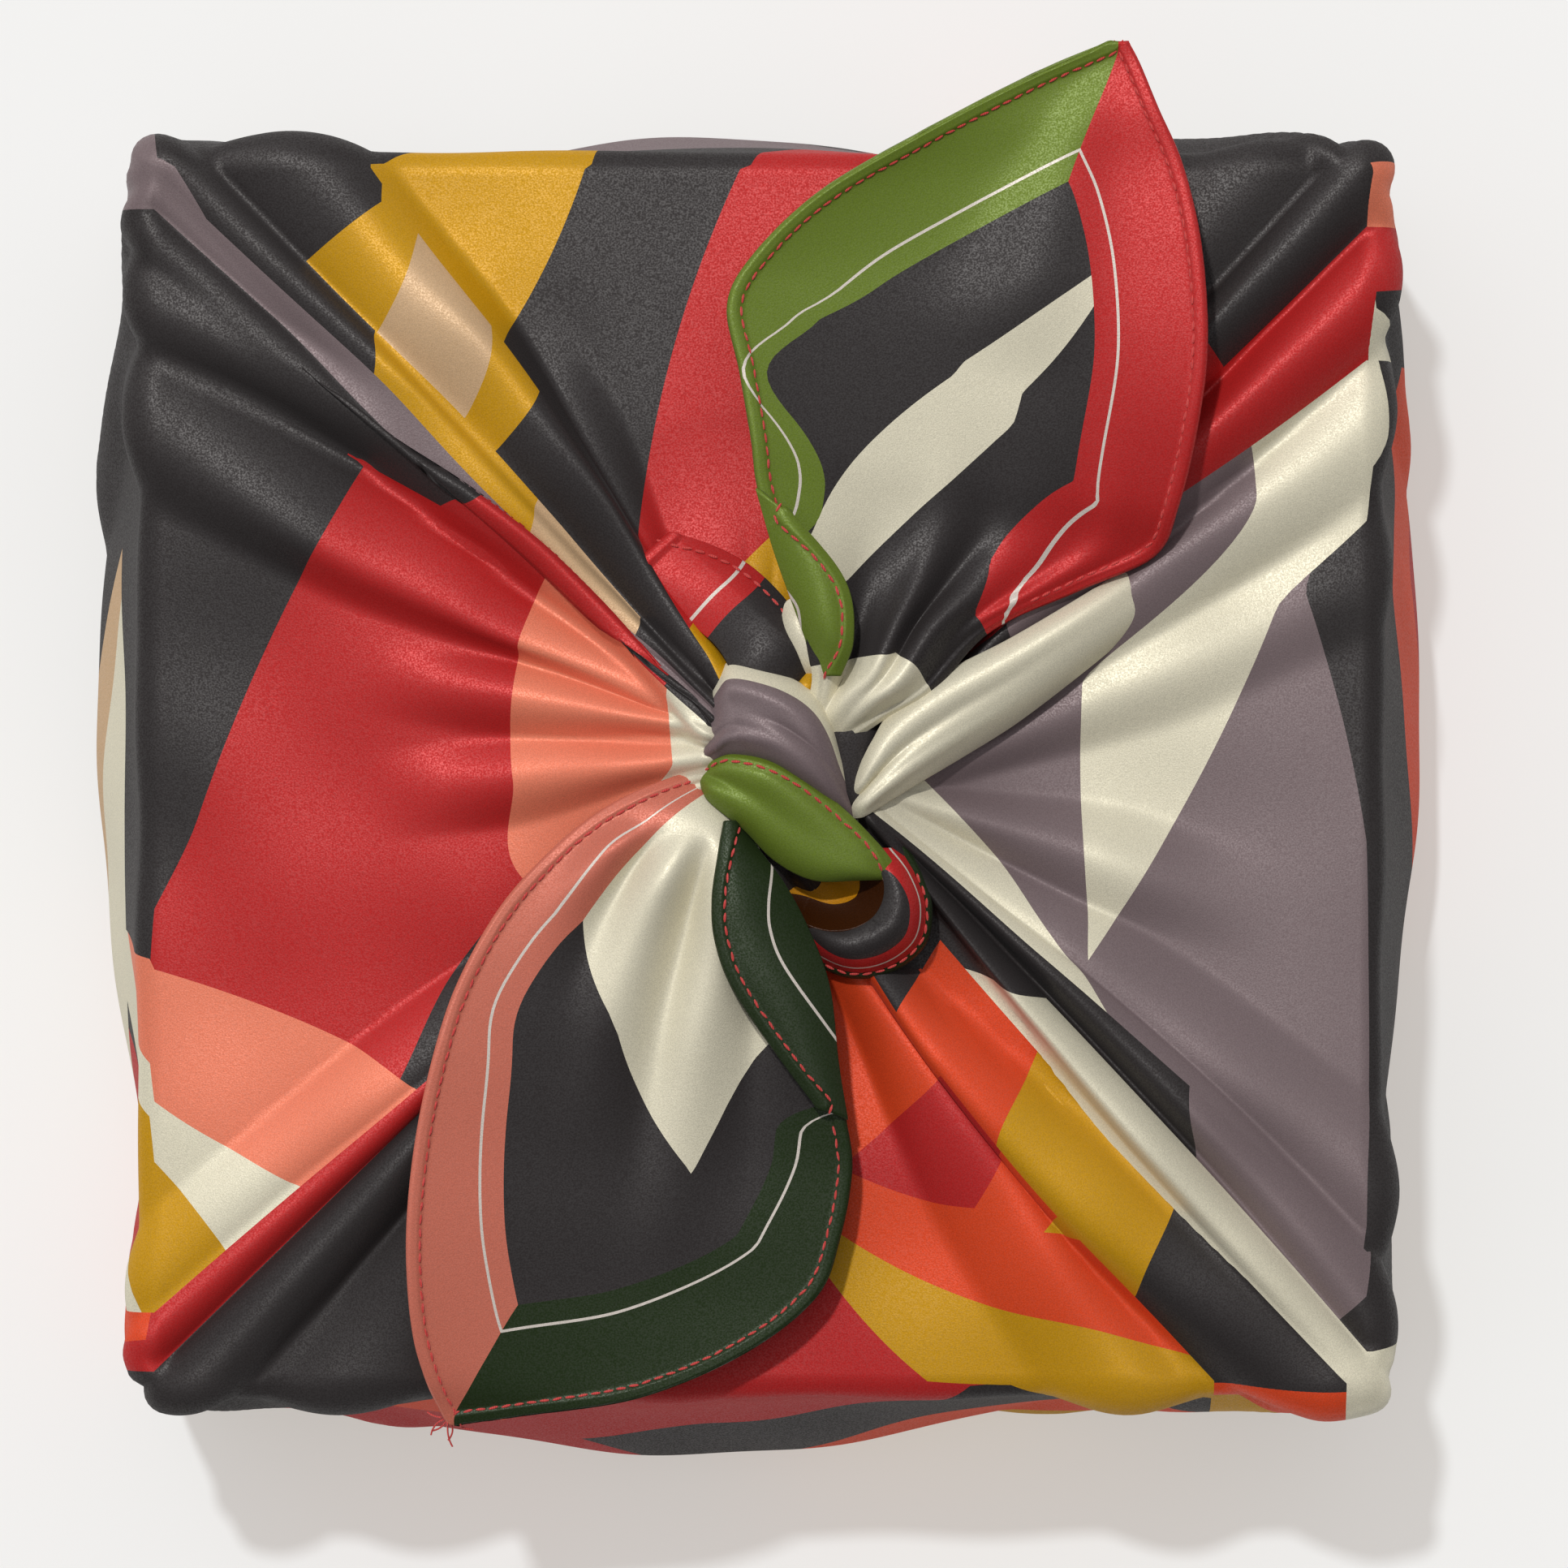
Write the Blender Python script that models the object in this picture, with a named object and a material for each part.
"""A furoshiki wrap: one square satin cloth tied over a flat square box by its four corners.

The tables give sizes and places in millimetres, and MM turns them into metres where a mesh is made.
+Z is up, the origin is the middle of the flat bottom, and +Y points to the upper knot tail.
"""
from collections import namedtuple

import bmesh
import bpy
import numpy as np

MM = 0.001

# the box, and the cloth that is drawn over it
BOX_SIDE = 204.0
BOX_HEIGHT = 56.0
BOX_BEVEL = 1.5
CLOTH = 1.5
REST_GAP = 0.3
DRAPE_GAP = 2.3
HALF = BOX_SIDE / 2 + DRAPE_GAP + CLOTH
TOP = CLOTH + REST_GAP + BOX_HEIGHT + DRAPE_GAP + CLOTH
EDGE_RADIUS = 3.0
CORNER_RADIUS = 4.5
FLAT_BAND = 2.5
FOLD_FADE = 8.0

# the knot, and how the cloth rises to it
KNOT_X = 2.5
KNOT_Y = 4.1
NECK_RADIUS = 12.0
TENT_HEIGHT = 13.0
TENT_REACH = 58.0
CROWN = 2.5

# how a fold narrows and sinks towards the knot, and flattens as it nears the edge
PINCHED_WIDTH = 0.35
PINCH_LENGTH = 0.6
PINCHED_HEIGHT = 0.5
RISE_LENGTH = 0.3
FOLD_HOLD = 0.35
FOLD_MERGE = 5.0

# fineness of the cloth's faces
SIDE_COLUMNS = 32
TOP_ROWS = 13
WALL_ROWS = 5
HOLLOW_SIDE_COLUMNS = 9
HOLLOW_TOP_ROWS = 6
HOLLOW_WALL_ROWS = 3
HOLLOW_SLACK = 0.85
ROUND_ROWS = 2
CORNER_CROWDING = 0.55
MOST_MISS = 0.8
FOLLOW = 0.9

Fold = namedtuple("Fold", "name x0 y0 x1 y1 bow width height far reach")
# x0, y0: start at the knot; x1, y1: where it meets the edge; bow: sideways bend in its middle;
# width: half width at the edge; far: share of its height there; reach: length past that point
FOLDS = [
    Fold("far left roll", -10.6, 20.0, -80.8, 106.0, 0.0, 12.0, 8.5, 0.35, 35.0),
    Fold("far left pleat 1", -9.5, 13.1, -101.5, 104.7, 0.0, 5.5, 7.5, 0.35, 30.0),
    Fold("far left pleat 2", -9.9, 12.0, -99.4, 97.0, 0.0, 4.0, 5.5, 0.3, 25.0),
    Fold("far left pleat 3", -9.8, 10.3, -102.9, 90.6, 0.0, 5.0, 6.5, 0.3, 30.0),
    Fold("far left pleat 4", -10.2, 7.8, -105.6, 81.0, -9.0, 7.5, 7.0, 0.3, 30.0),
    Fold("left shoulder", -18.9, 14.5, -108.4, 60.7, 0.0, 11.0, 4.5, 0.5, 35.0),
    Fold("left soft 1", -10.0, 8.0, -69.8, 17.2, 0.0, 7.0, 3.5, 0.0, 20.0),
    Fold("left soft 2", -10.2, 2.8, -68.4, -4.1, 0.0, 8.0, 4.0, 0.0, 20.0),
    Fold("near left roll", -7.8, -6.2, -101.5, -84.0, 0.0, 9.0, 6.5, 0.35, 30.0),
    Fold("near left pleat 1", -7.2, -7.6, -103.6, -95.0, 0.0, 5.0, 6.5, 0.35, 30.0),
    Fold("near left pleat 2", -6.5, -8.3, -97.0, -104.7, 0.0, 6.5, 7.0, 0.35, 30.0),
    Fold("near left shoulder", -5.0, -9.0, -71.2, -107.4, 0.0, 11.0, 5.5, 0.4, 30.0),
    Fold("near soft", 3.2, -14.5, -18.9, -108.0, 0.0, 14.0, 2.5, 0.4, 30.0),
    Fold("near right shoulder", 11.4, -26.9, 61.8, -106.7, 0.0, 11.0, 4.5, 0.5, 25.0),
    Fold("near right roll", 10.0, -18.6, 94.9, -104.3, -5.0, 9.0, 8.0, 0.4, 25.0),
    Fold("near right pleat 1", 19.0, -7.6, 100.6, -101.2, 0.0, 4.5, 8.0, 0.35, 25.0),
    Fold("near right pleat 2", 20.4, -7.6, 104.7, -91.3, 3.8, 6.5, 7.0, 0.35, 25.0),
    Fold("right shoulder", 19.7, -4.8, 107.8, -70.3, 0.0, 11.0, 4.0, 0.5, 30.0),
    Fold("right soft 1", 20.4, -2.8, 91.3, -24.0, 0.0, 10.0, 3.5, 0.0, 20.0),
    Fold("far soft", 8.7, 15.8, 88.3, 108.0, 0.0, 10.0, 3.0, 0.5, 25.0),
    Fold("far right pleat 1", 14.9, 7.6, 103.7, 103.3, 0.0, 6.0, 7.0, 0.35, 30.0),
    Fold("far right pleat 2", 17.2, -2.0, 107.1, 85.8, 0.0, 7.5, 8.0, 0.35, 30.0),
    Fold("far right shoulder", 20.4, -2.5, 106.4, 60.7, 0.0, 9.0, 5.0, 0.4, 30.0),
    Fold("right soft 2", 21.0, -2.8, 109.2, 35.9, 0.0, 10.0, 3.0, 0.4, 20.0),
    Fold("far left soft", -12.0, 24.0, -44.9, 82.4, 0.0, 9.0, 3.0, 0.0, 20.0),
]

Ear = namedtuple("Ear", "along drop width height")
# drag lines that run down the walls from each top corner of the box
EARS = [
    Ear(9.0, 50.0, 6.0, 2.0),
    Ear(27.0, 52.0, 8.0, 2.5),
    Ear(52.0, 46.0, 9.0, 3.0),
]
EAR_UNEVENNESS = 0.25
EAR_FAR = 0.6
EAR_REACH = 15.0

Belly = namedtuple("Belly", "side centre half_length amount")
# side: 0 far, 1 right, 2 near, 3 left; centre runs clockwise along the side
BELLIES = [
    Belly(0, -10.0, 45.0, 5.0),
    Belly(1, -9.0, 85.0, 9.0),
    Belly(2, 12.0, 80.0, 12.5),
    Belly(3, 10.0, 85.0, 10.0),
]
BELLY_LEVEL = 24.0
BELLY_FULLNESS = 0.75
BELLY_TAPER = 1.5
CROWN_SQUARENESS = 4

Section = namedtuple("Section", "left_x left_y left_z right_x right_y right_z sag")
# from the knot to the tip, seen from above; z is over the box's top, sag lifts the middle
UPPER_TAIL = [
    Section(7.0, 8.0, 13.0, 14.0, 5.0, 13.0, 1.0),
    Section(9.0, 15.0, 15.0, 21.0, 10.0, 14.0, 4.0),
    Section(8.5, 19.5, 17.0, 29.0, 14.5, 14.0, 4.0),
    Section(6.5, 26.5, 19.0, 39.0, 24.5, 12.0, 2.0),
    Section(2.5, 37.5, 20.0, 53.5, 31.0, 9.0, 0.0),
    Section(-0.5, 48.5, 20.0, 66.5, 37.0, 8.0, -1.0),
    Section(-1.5, 56.5, 20.0, 70.5, 45.5, 13.0, -3.0),
    Section(-3.5, 68.0, 19.0, 73.5, 59.0, 17.0, -4.0),
    Section(-5.5, 79.0, 18.0, 75.0, 72.5, 18.0, -4.0),
    Section(-1.0, 87.5, 17.0, 74.0, 89.0, 17.0, -4.0),
    Section(10.0, 98.0, 16.0, 71.0, 102.5, 15.0, -3.0),
    Section(26.0, 107.5, 15.0, 67.0, 112.0, 14.0, -2.0),
    Section(44.0, 117.0, 13.0, 64.0, 119.5, 12.5, -1.0),
    Section(58.5, 123.5, 12.0, 62.0, 123.5, 12.0, 0.0),
]
LOWER_TAIL = [
    Section(-8.5, 0.0, 11.0, -2.5, -6.0, 11.0, 1.0),
    Section(-18.5, -2.0, 13.0, -0.5, -12.5, 13.0, 3.0),
    Section(-27.5, -6.5, 13.5, 4.0, -18.5, 14.0, 2.5),
    Section(-36.0, -13.5, 13.5, 8.0, -26.0, 14.0, 2.0),
    Section(-44.0, -22.5, 13.0, 11.5, -35.5, 13.5, 1.0),
    Section(-51.0, -35.0, 13.0, 13.0, -48.5, 13.0, 0.0),
    Section(-55.0, -47.0, 13.0, 14.5, -58.0, 12.0, -1.0),
    Section(-58.0, -61.0, 12.5, 15.5, -66.5, 11.0, -1.5),
    Section(-59.5, -74.5, 12.0, 13.5, -78.0, 10.5, -1.5),
    Section(-59.5, -85.5, 11.0, 9.5, -88.0, 10.0, -1.5),
    Section(-58.5, -95.0, 9.5, -2.5, -97.5, 9.5, -1.0),
    Section(-56.5, -102.0, 8.0, -20.0, -105.0, 8.5, -0.5),
    Section(-54.5, -106.5, 6.0, -39.0, -108.0, 6.5, 0.0),
    Section(-53.0, -109.5, 5.0, -50.5, -109.5, 5.0, 0.0),
]
# the border bands that turn back over the tails near the knot: left is the fold, right the hem
UPPER_BAND = [
    Section(10.0, 17.0, 16.5, 13.5, 17.0, 18.0, 1.0),
    Section(6.5, 26.5, 19.5, 15.5, 23.0, 20.5, 2.0),
    Section(2.5, 37.5, 20.5, 14.0, 32.5, 21.0, 2.0),
    Section(-0.5, 48.0, 20.5, 5.0, 43.5, 21.5, 1.0),
]
LOWER_BAND = [
    Section(-3.5, -8.0, 13.0, -6.0, -8.0, 15.0, 1.0),
    Section(-0.5, -12.5, 14.0, -7.0, -13.5, 17.0, 1.5),
    Section(4.0, -18.5, 15.0, -8.0, -21.0, 18.0, 2.0),
    Section(8.0, -26.0, 15.0, -7.5, -28.0, 18.0, 2.0),
    Section(11.5, -35.5, 14.5, -4.5, -36.0, 17.5, 2.0),
    Section(13.0, -48.5, 14.0, 3.0, -47.0, 16.0, 1.5),
    Section(14.5, -58.0, 13.0, 9.5, -55.5, 14.5, 1.0),
]
# the short ends of the first knot: one lies on the far side, one curls beside the near tail
FAR_END = [
    Section(-3.0, 14.0, 9.0, 5.0, 14.0, 9.0, 2.0),
    Section(-6.5, 22.0, 8.0, 6.0, 27.0, 8.0, 3.0),
    Section(-12.0, 26.0, 6.5, -1.0, 35.0, 6.0, 2.5),
    Section(-16.5, 31.0, 7.0, -8.0, 38.5, 5.5, 1.5),
    Section(-21.0, 36.0, 7.5, -15.5, 41.0, 6.0, 0.0),
]
CURLED_END = [
    Section(17.0, -13.0, 11.0, 24.0, -13.0, 6.0, 2.0),
    Section(20.0, -20.0, 12.0, 28.0, -21.0, 5.0, 4.0),
    Section(20.0, -23.0, 12.0, 28.0, -26.5, 5.0, 5.0),
    Section(17.5, -26.0, 12.0, 23.5, -31.5, 5.0, 5.0),
    Section(13.5, -26.5, 11.0, 17.0, -34.0, 5.0, 4.0),
    Section(6.0, -25.0, 8.0, 8.0, -31.0, 4.0, 2.0),
]

Crest = namedtuple("Crest", "start_row start_share end_row end_share width height")
# fan folds of a tail: rows count its sections, shares run from its left edge to its right
UPPER_CRESTS = [
    Crest(1.0, 0.75, 8.0, 0.62, 0.10, 3.0),
    Crest(1.0, 0.30, 6.0, 0.30, 0.10, -5.0),
    Crest(8.0, 0.62, 12.5, 0.72, 0.12, 2.5),
]
LOWER_CRESTS = [
    Crest(0.5, 0.20, 5.0, 0.16, 0.09, 2.5),
    Crest(0.5, 0.45, 6.5, 0.40, 0.08, 2.5),
    Crest(0.5, 0.68, 8.5, 0.58, 0.08, 3.0),
    Crest(2.0, 0.55, 7.5, 0.49, 0.05, -2.0),
]
CREST_ONSET = 3.0
TAIL_COLUMNS = 9
BAND_COLUMNS = 4
STEPS_PER_SECTION = 2

Station = namedtuple("Station", "x y z width thickness")
# strands of the knot, along their run
TOP_STRAND = [
    Station(-8.0, 4.0, 3.0, 13.0, 6.0),
    Station(-8.0, 6.5, 12.0, 14.5, 7.0),
    Station(-3.5, 8.5, 20.0, 14.5, 7.5),
    Station(3.5, 7.0, 22.5, 14.0, 8.0),
    Station(10.0, 2.5, 19.0, 13.0, 7.5),
    Station(13.5, -3.0, 12.0, 12.0, 7.0),
    Station(14.0, -5.0, 3.0, 11.0, 6.0),
]
HEM_STRAND = [
    Station(-9.0, -1.5, 4.0, 7.0, 4.0),
    Station(-7.5, -2.0, 11.0, 9.0, 4.0),
    Station(-1.0, -3.5, 15.5, 10.5, 4.5),
    Station(6.0, -7.5, 14.0, 10.5, 4.5),
    Station(13.5, -12.0, 10.0, 8.0, 4.0),
    Station(20.0, -15.5, 5.0, 4.0, 3.0),
]
TUCKED_STRAND = [
    Station(8.0, 8.5, 8.0, 10.0, 9.0),
    Station(14.0, 6.5, 10.5, 10.0, 8.0),
    Station(19.5, 4.0, 6.0, 9.0, 7.0),
]
STRAND_SIDES = 12
STRAND_STEPS = 2
CORE_X = 3.0
CORE_Y = 2.5
CORE_RADIUS = 13.0
CORE_HEIGHT = 11.0
CORE_LEVEL = 8.0

# the gap between the strands, beside the curled end, that leads in to the box
NECK_GAP_X = 14.9
NECK_GAP_Y = -20.5
NECK_GAP_RADIUS = 4.5
NECK_GAP_DEPTH = 30.0
NECK_GAP_LEVEL = 6.0
NECK_GAP_SIDES = 10


def principled(name, colour, roughness, sheen=0.0):
    """A plain surface in the colour that the piece has."""
    material = bpy.data.materials.new(name)
    material.use_nodes = True
    shader = material.node_tree.nodes["Principled BSDF"]
    shader.inputs["Base Color"].default_value = (*colour, 1.0)
    shader.inputs["Roughness"].default_value = roughness
    shader.inputs["Sheen Weight"].default_value = sheen
    material.diffuse_color = (*colour, 1.0)
    return material


def add_object(name, points, faces, material=None):
    """Make a mesh object from points in millimetres, with its faces pointing out."""
    mesh = bpy.data.meshes.new(name)
    mesh.from_pydata((np.asarray(points) * MM).tolist(), [], faces)
    work = bmesh.new()
    work.from_mesh(mesh)
    bmesh.ops.recalc_face_normals(work, faces=work.faces)
    work.to_mesh(mesh)
    work.free()
    thing = bpy.data.objects.new(name, mesh)
    bpy.context.collection.objects.link(thing)
    if material:
        mesh.materials.append(material)
    return thing


def as_tool(thing):
    """Keep a helper out of the finished part: it only joins or cuts."""
    thing.hide_render = True
    thing.display_type = "WIRE"
    return thing


def combine(target, tool, operation):
    """Join a helper to the target, or cut it away."""
    step = target.modifiers.new(f"{operation.lower()} {tool.name}", "BOOLEAN")
    step.operation = operation
    step.object = as_tool(tool)


def outline(side_columns, half):
    """Points and outward directions round the box's rounded square, clockwise from its far side."""
    share = np.linspace(-1.0, 1.0, side_columns, endpoint=False)
    crowded = (1 - CORNER_CROWDING) * share + CORNER_CROWDING * np.sin(share * np.pi / 2)
    straight = half - CORNER_RADIUS
    along = crowded * (straight + CORNER_RADIUS * np.pi / 4)
    turn = np.clip((np.abs(along) - straight) / CORNER_RADIUS, 0, None)
    x = np.sign(along) * np.where(turn > 0, straight + CORNER_RADIUS * np.sin(turn), np.abs(along))
    y = straight + CORNER_RADIUS * np.cos(turn)
    normal_x = np.sign(along) * np.sin(turn)
    normal_y = np.cos(turn)
    points, normals, along_side, sides = [], [], [], []
    for side in range(4):
        c, s = np.round(np.cos(side * np.pi / 2)), np.round(np.sin(side * np.pi / 2))
        points.append(np.stack([c * x + s * y, c * y - s * x], axis=1))
        normals.append(np.stack([c * normal_x + s * normal_y, c * normal_y - s * normal_x], axis=1))
        along_side.append(along)
        sides.append(np.full(side_columns, side))
    return tuple(np.concatenate(values) for values in (points, normals, along_side, sides))


def smooth(value):
    """Ease from 0 to 1."""
    value = np.clip(value, 0.0, 1.0)
    return value * value * (3 - 2 * value)


def ear_folds():
    """The drag lines on both walls beside every top corner, each a little different."""
    folds = []
    for side in range(4):
        c, s = round(np.cos(side * np.pi / 2)), round(np.sin(side * np.pi / 2))
        for hand in (-1, 1):
            for number, ear in enumerate(EARS):
                uneven = 1 + EAR_UNEVENNESS * np.sin(2.3 * side + 1.7 * hand + 2.9 * number)
                x0, y0 = hand * (HALF - EDGE_RADIUS), HALF - 2 * EDGE_RADIUS
                x1, y1 = hand * (HALF - ear.along * uneven), HALF + ear.drop
                folds.append(Fold(f"ear {side} {hand} {number}", c * x0 + s * y0, c * y0 - s * x0,
                                  c * x1 + s * y1, c * y1 - s * x1, 0.0, ear.width,
                                  ear.height * uneven, EAR_FAR, EAR_REACH))
    return folds


def fold_runs(folds):
    """Where the folds leave the knot and how they bow, by the direction of their far ends."""
    knot = np.array([KNOT_X, KNOT_Y])
    runs = []
    for fold in folds:
        start, end = np.array([fold.x0, fold.y0]) - knot, np.array([fold.x1, fold.y1]) - knot
        inward = (start - end) / np.linalg.norm(start - end)
        miss = end - inward * (end @ inward)
        miss *= min(1.0, MOST_MISS * NECK_RADIUS / max(np.linalg.norm(miss), 1e-6))
        crossing = miss - inward * np.sqrt(NECK_RADIUS ** 2 - miss @ miss)
        leave = np.arctan2(crossing[1], crossing[0])
        toward = np.arctan2(end[1], end[0])
        runs.append((toward, toward + (leave - toward + np.pi) % (2 * np.pi) - np.pi, fold.bow))
    toward, leave, bows = np.array(sorted(runs)).T
    in_order = (np.maximum.accumulate(leave) + np.minimum.accumulate(leave[::-1])[::-1]) / 2
    return toward, FOLLOW * (in_order - toward), bows


def fold_height(x, y, folds):
    """Height of the gathered folds at a place on the spread-out top and walls."""
    total = np.zeros_like(x)
    for fold in folds:
        run = np.array([fold.x1 - fold.x0, fold.y1 - fold.y0])
        length = np.hypot(*run)
        forward = ((x - fold.x0) * run[0] + (y - fold.y0) * run[1]) / length
        sideways = ((y - fold.y0) * run[0] - (x - fold.x0) * run[1]) / length
        share = np.clip(forward / length, 0, 1)
        offset = sideways - fold.bow * 4 * share * (1 - share)
        width = fold.width * (PINCHED_WIDTH + (1 - PINCHED_WIDTH) * smooth(share / PINCH_LENGTH))
        lift = fold.height * (PINCHED_HEIGHT + (1 - PINCHED_HEIGHT) * smooth(share / RISE_LENGTH))
        lift *= 1 - (1 - fold.far) * smooth((share - FOLD_HOLD) / (1 - FOLD_HOLD))
        past = smooth((forward - length) / fold.reach)
        before = smooth(1 + forward / NECK_RADIUS)
        profile = np.clip(1 - (offset / width) ** 2, 0, 1)
        total += (lift * profile * (1 - past) * before) ** FOLD_MERGE
    return total ** (1 / FOLD_MERGE)


def top_height(x, y, half, tent_share):
    """How far the cloth's top rises over the box, apart from its folds."""
    reach = np.clip(1 - (np.hypot(x - KNOT_X, y - KNOT_Y) - NECK_RADIUS) / (TENT_REACH - NECK_RADIUS), 0, 1)
    crown = CROWN * np.clip(1 - (x / half) ** CROWN_SQUARENESS, 0, 1)
    crown *= np.clip(1 - (y / half) ** CROWN_SQUARENESS, 0, 1)
    return tent_share * TENT_HEIGHT * reach ** 2 + crown * (1 - reach)


def belly_depth(along_side, sides, z, top):
    """How far the slack walls stand out."""
    depth = np.zeros_like(along_side)
    level = np.where(z < BELLY_LEVEL, z / BELLY_LEVEL, (top - z) / (top - BELLY_LEVEL))
    for belly in BELLIES:
        spread = np.clip(1 - ((along_side - belly.centre) / belly.half_length) ** 2, 0, 1) ** BELLY_TAPER
        depth += np.where(sides == belly.side, belly.amount * spread, 0)
    return depth * smooth(level * BELLY_FULLNESS) / smooth(BELLY_FULLNESS)


def wrapped_rows(side_columns, top_rows, wall_rows, inset=0.0, folds=(), slack_share=1.0):
    """Rows of points of the wrapped cloth, from the knot's neck over the top and down to the bottom."""
    half = HALF - inset
    top = TOP - inset
    rim, normal, along_side, sides = outline(side_columns, half)
    edge = rim - normal * EDGE_RADIUS
    knot = np.array([KNOT_X, KNOT_Y])
    ray = edge - knot
    directions, turns, bows = fold_runs(FOLDS)
    toward = np.arctan2(ray[:, 1], ray[:, 0])
    leave = toward + np.interp(toward, directions, turns, period=2 * np.pi)
    neck = knot + NECK_RADIUS * np.column_stack([np.cos(leave), np.sin(leave)])
    bow = np.interp(toward, directions, bows, period=2 * np.pi)
    sideways = np.column_stack([-(edge - neck)[:, 1], (edge - neck)[:, 0]])
    sideways *= (bow / np.linalg.norm(sideways, axis=1))[:, None]
    rows = []

    def add_row(plan, spread, z, lean):
        """lean is 0 where the cloth faces up and 1 where it faces out."""
        height = fold_height(spread[:, 0], spread[:, 1], folds) if folds else np.zeros(len(plan))
        height = height * smooth((z - FLAT_BAND) / FOLD_FADE)
        depth = height + slack_share * belly_depth(along_side, sides, z, top) * lean
        up = np.sqrt(1 - lean * lean)
        place = np.column_stack([plan + normal * (depth * lean)[:, None], z + depth * up])
        rows.append(place)

    for share in np.linspace(0, 1, top_rows + 1):
        plan = neck + (edge - neck) * share + sideways * 4 * share * (1 - share)
        z = top + top_height(plan[:, 0], plan[:, 1], half, slack_share)
        add_row(plan, plan, z, np.zeros(len(plan)))
    quarter = EDGE_RADIUS * np.pi / 2
    for turn in np.linspace(0, np.pi / 2, ROUND_ROWS + 1)[1:]:
        plan = edge + normal * (EDGE_RADIUS * np.sin(turn))
        spread = edge + normal * (EDGE_RADIUS * turn)
        z = np.full(len(plan), top - EDGE_RADIUS * (1 - np.cos(turn)))
        add_row(plan, spread, z, np.full(len(plan), np.sin(turn)))
    wall = np.linspace(top - EDGE_RADIUS, inset + EDGE_RADIUS, wall_rows + 1)[1:]
    for level in wall:
        spread = edge + normal * (quarter + top - EDGE_RADIUS - level)
        add_row(rim, spread, np.full(len(rim), level), np.ones(len(rim)))
    for turn in np.linspace(0, np.pi / 2, ROUND_ROWS + 1)[1:]:
        plan = rim - normal * (EDGE_RADIUS * (1 - np.cos(turn)))
        z = np.full(len(plan), inset + EDGE_RADIUS * (1 - np.sin(turn)))
        rows.append(np.column_stack([plan, z]))
    return np.array(rows)


def closed_rows(name, rows, material=None):
    """A solid whose skin is rings of points, with both ends filled by a fan."""
    count, around = rows.shape[:2]
    points = rows.reshape(-1, 3).tolist()
    faces = []
    for row in range(count - 1):
        for column in range(around):
            beside = (column + 1) % around
            a, b = row * around + column, row * around + beside
            faces.append((a, b, b + around, a + around))
    for row in (0, count - 1):
        centre = len(points)
        points.append(rows[row].mean(axis=0).tolist())
        ring = [row * around + column for column in range(around)]
        faces += [(centre, ring[i], ring[(i + 1) % around]) for i in range(around)]
    return add_object(name, points, faces, material)


def through(values, steps):
    """A smooth curve through a table's rows, with this many steps between two rows."""
    values = np.asarray(values, dtype=float)
    padded = np.vstack([2 * values[0] - values[1], values, 2 * values[-1] - values[-2]])
    result = []
    for index in range(len(values) - 1):
        p0, p1, p2, p3 = padded[index:index + 4]
        for t in np.arange(steps) / steps:
            result.append(0.5 * (2 * p1 + (p2 - p0) * t + (2 * p0 - 5 * p1 + 4 * p2 - p3) * t ** 2
                                 + (3 * p1 - p0 - 3 * p2 + p3) * t ** 3))
    result.append(values[-1])
    return np.array(result)


def tail_points(sections, crests, columns, steps):
    """Middle surface of a flat tail: rows from the knot to its tip, columns from left to right."""
    table = through(sections, steps)
    row = np.arange(len(table))[:, None] / steps
    share = np.linspace(0, 1, columns + 1)[None, :]
    left, right, sag = table[:, None, 0:3], table[:, None, 3:6], table[:, None, 6]
    points = left + (right - left) * share[:, :, None]
    lift = sag * 4 * share * (1 - share)
    for crest in crests:
        along = (row - crest.start_row) / (crest.end_row - crest.start_row)
        middle = crest.start_share + (crest.end_share - crest.start_share) * np.clip(along, 0, 1)
        strength = smooth(along * CREST_ONSET + 0.5) * (1 - smooth(along))
        lift = lift + crest.height * strength * np.exp(-((share - middle) / crest.width) ** 2)
    points[:, :, 2] += lift + TOP
    return points


def closed_sheet(name, middle, thickness=CLOTH):
    """A cloth-thick solid about a grid of points."""
    count, across = middle.shape[:2]
    down_rows = np.gradient(middle, axis=0)
    over_columns = np.gradient(middle, axis=1)
    normal = np.cross(over_columns, down_rows)
    normal /= np.maximum(np.linalg.norm(normal, axis=2, keepdims=True), 1e-9)
    normal *= np.sign(normal[:, :, 2].sum())
    faces_of = [middle + normal * thickness / 2, middle - normal * thickness / 2]
    points = np.concatenate([layer.reshape(-1, 3) for layer in faces_of])
    size = count * across
    faces = []
    for row in range(count - 1):
        for column in range(across - 1):
            a = row * across + column
            quad = (a, a + 1, a + 1 + across, a + across)
            faces.append(quad)
            faces.append(tuple(size + corner for corner in reversed(quad)))
    rim = [column for column in range(across)]
    rim += [row * across + across - 1 for row in range(1, count)]
    rim += [size - 2 - column for column in range(across - 1)]
    rim += [row * across for row in range(count - 2, 0, -1)]
    for index, corner in enumerate(rim):
        beside = rim[(index + 1) % len(rim)]
        faces.append((corner, corner + size, beside + size, beside))
    return add_object(name, points, faces)


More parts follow.
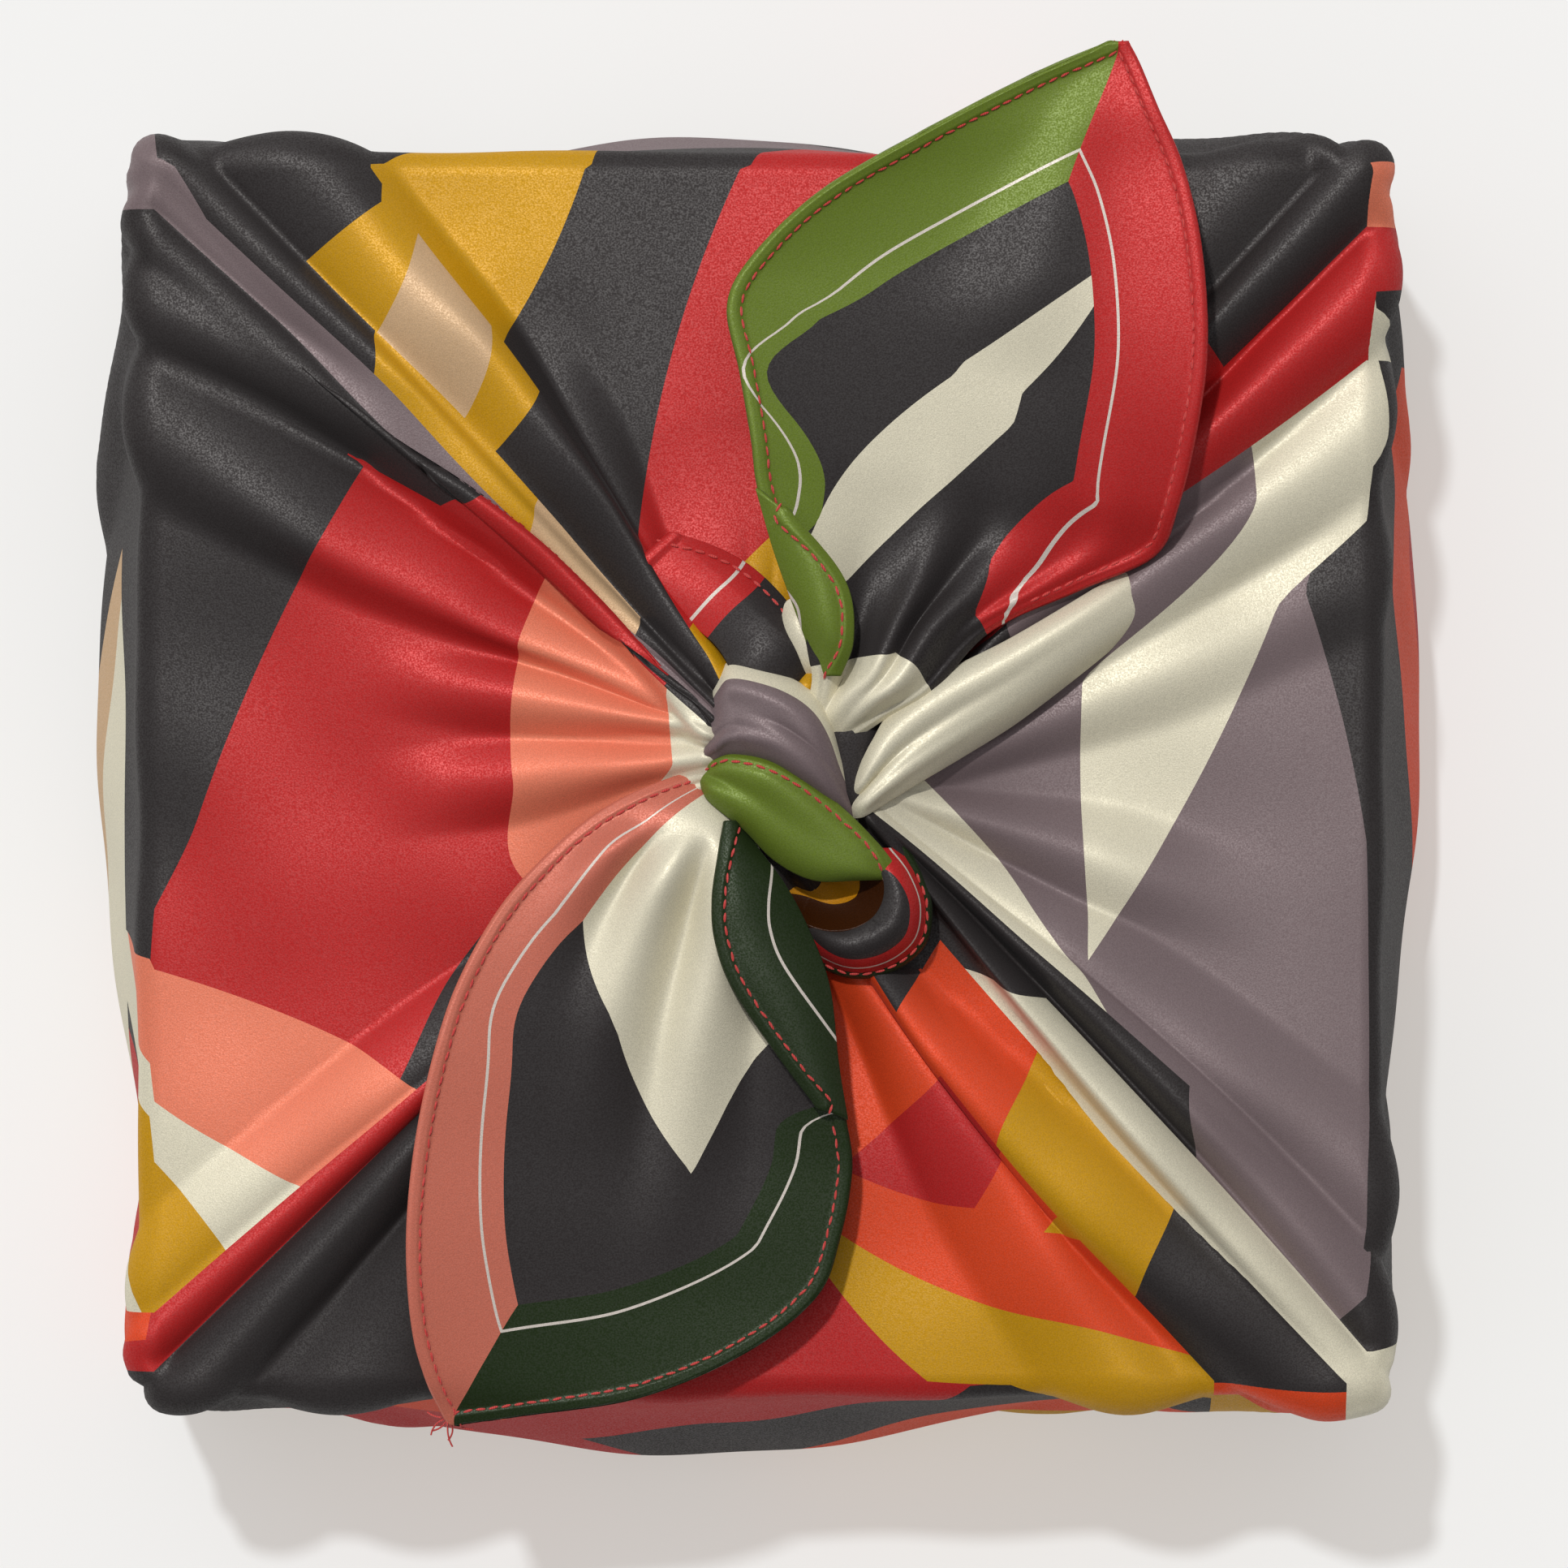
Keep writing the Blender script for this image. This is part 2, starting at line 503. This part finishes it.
def strand(name, stations):
    """A flattened strand of gathered cloth that runs through its stations."""
    table = through(stations, STRAND_STEPS)
    path = table[:, :3] + np.array([0, 0, TOP])
    tangent = np.gradient(path, axis=0)
    tangent /= np.linalg.norm(tangent, axis=1, keepdims=True)
    chord = path[-1] - path[0]
    side = np.array([-chord[1], chord[0], 0.0])
    side /= np.linalg.norm(side)
    crosswise = side - tangent * (tangent @ side)[:, None]
    crosswise /= np.linalg.norm(crosswise, axis=1, keepdims=True)
    outward = np.cross(tangent, crosswise)
    angle = np.arange(STRAND_SIDES) * 2 * np.pi / STRAND_SIDES
    rings = []
    for place, across, out, (width, thick) in zip(path, crosswise, outward, table[:, 3:5]):
        rings.append(place + np.outer(np.cos(angle) * width / 2, across)
                     + np.outer(np.sin(angle) * thick / 2, out))
    return closed_rows(name, np.array(rings))


def knot_core():
    """The wad of cloth inside the knot."""
    work = bmesh.new()
    bmesh.ops.create_icosphere(work, subdivisions=2, radius=MM)
    bmesh.ops.scale(work, vec=(CORE_RADIUS, CORE_RADIUS, CORE_HEIGHT), verts=work.verts)
    mesh = bpy.data.meshes.new("knot core")
    work.to_mesh(mesh)
    work.free()
    thing = bpy.data.objects.new("knot core", mesh)
    thing.location = (CORE_X * MM, CORE_Y * MM, (TOP + CORE_LEVEL) * MM)
    bpy.context.collection.objects.link(thing)
    return thing


def neck_gap():
    """A round cutter through the cloth beside the knot."""
    work = bmesh.new()
    bmesh.ops.create_cone(work, cap_ends=True, segments=NECK_GAP_SIDES, radius1=NECK_GAP_RADIUS * MM,
                          radius2=NECK_GAP_RADIUS * MM, depth=NECK_GAP_DEPTH * MM)
    mesh = bpy.data.meshes.new("neck gap")
    work.to_mesh(mesh)
    work.free()
    thing = bpy.data.objects.new("neck gap", mesh)
    thing.location = (NECK_GAP_X * MM, NECK_GAP_Y * MM, (TOP + NECK_GAP_LEVEL) * MM)
    bpy.context.collection.objects.link(thing)
    return thing


def build_cloth():
    """The whole furoshiki: its skin over the box, the knot and the tails, as one piece of cloth."""
    satin = principled("satin", (0.052, 0.045, 0.045), 0.42, 0.3)
    rows = wrapped_rows(SIDE_COLUMNS, TOP_ROWS, WALL_ROWS, folds=FOLDS + ear_folds())
    cloth = closed_rows("furoshiki-cloth", rows, satin)
    hollow_rows = wrapped_rows(HOLLOW_SIDE_COLUMNS, HOLLOW_TOP_ROWS, HOLLOW_WALL_ROWS,
                               inset=CLOTH, slack_share=HOLLOW_SLACK)
    combine(cloth, closed_rows("hollow", hollow_rows), "DIFFERENCE")
    combine(cloth, neck_gap(), "DIFFERENCE")
    combine(cloth, knot_core(), "UNION")
    for name, stations in (("top strand", TOP_STRAND), ("hem strand", HEM_STRAND),
                           ("tucked strand", TUCKED_STRAND)):
        combine(cloth, strand(name, stations), "UNION")
    tails = (
        ("upper tail", UPPER_TAIL, UPPER_CRESTS, TAIL_COLUMNS),
        ("lower tail", LOWER_TAIL, LOWER_CRESTS, TAIL_COLUMNS),
        ("upper band", UPPER_BAND, (), BAND_COLUMNS),
        ("lower band", LOWER_BAND, (), BAND_COLUMNS),
        ("far end", FAR_END, (), BAND_COLUMNS),
        ("curled end", CURLED_END, (), BAND_COLUMNS),
    )
    for name, sections, crests, columns in tails:
        steps = STEPS_PER_SECTION if columns == TAIL_COLUMNS else 1
        combine(cloth, closed_sheet(name, tail_points(sections, crests, columns, steps)), "UNION")
    return cloth


def build_box():
    """The flat card box that gives the wrap its form."""
    card = principled("card", (0.42, 0.29, 0.17), 0.8)
    work = bmesh.new()
    bmesh.ops.create_cube(work, size=1.0)
    bmesh.ops.scale(work, vec=(BOX_SIDE * MM, BOX_SIDE * MM, BOX_HEIGHT * MM), verts=work.verts)
    bmesh.ops.bevel(work, geom=work.edges[:], offset=BOX_BEVEL * MM, segments=1, affect="EDGES")
    mesh = bpy.data.meshes.new("gift-box")
    work.to_mesh(mesh)
    work.free()
    mesh.materials.append(card)
    box = bpy.data.objects.new("gift-box", mesh)
    box.location = (0, 0, (CLOTH + REST_GAP + BOX_HEIGHT / 2) * MM)
    bpy.context.collection.objects.link(box)
    return box


def main():
    for thing in list(bpy.data.objects):
        bpy.data.objects.remove(thing, do_unlink=True)
    build_cloth()
    build_box()


main()
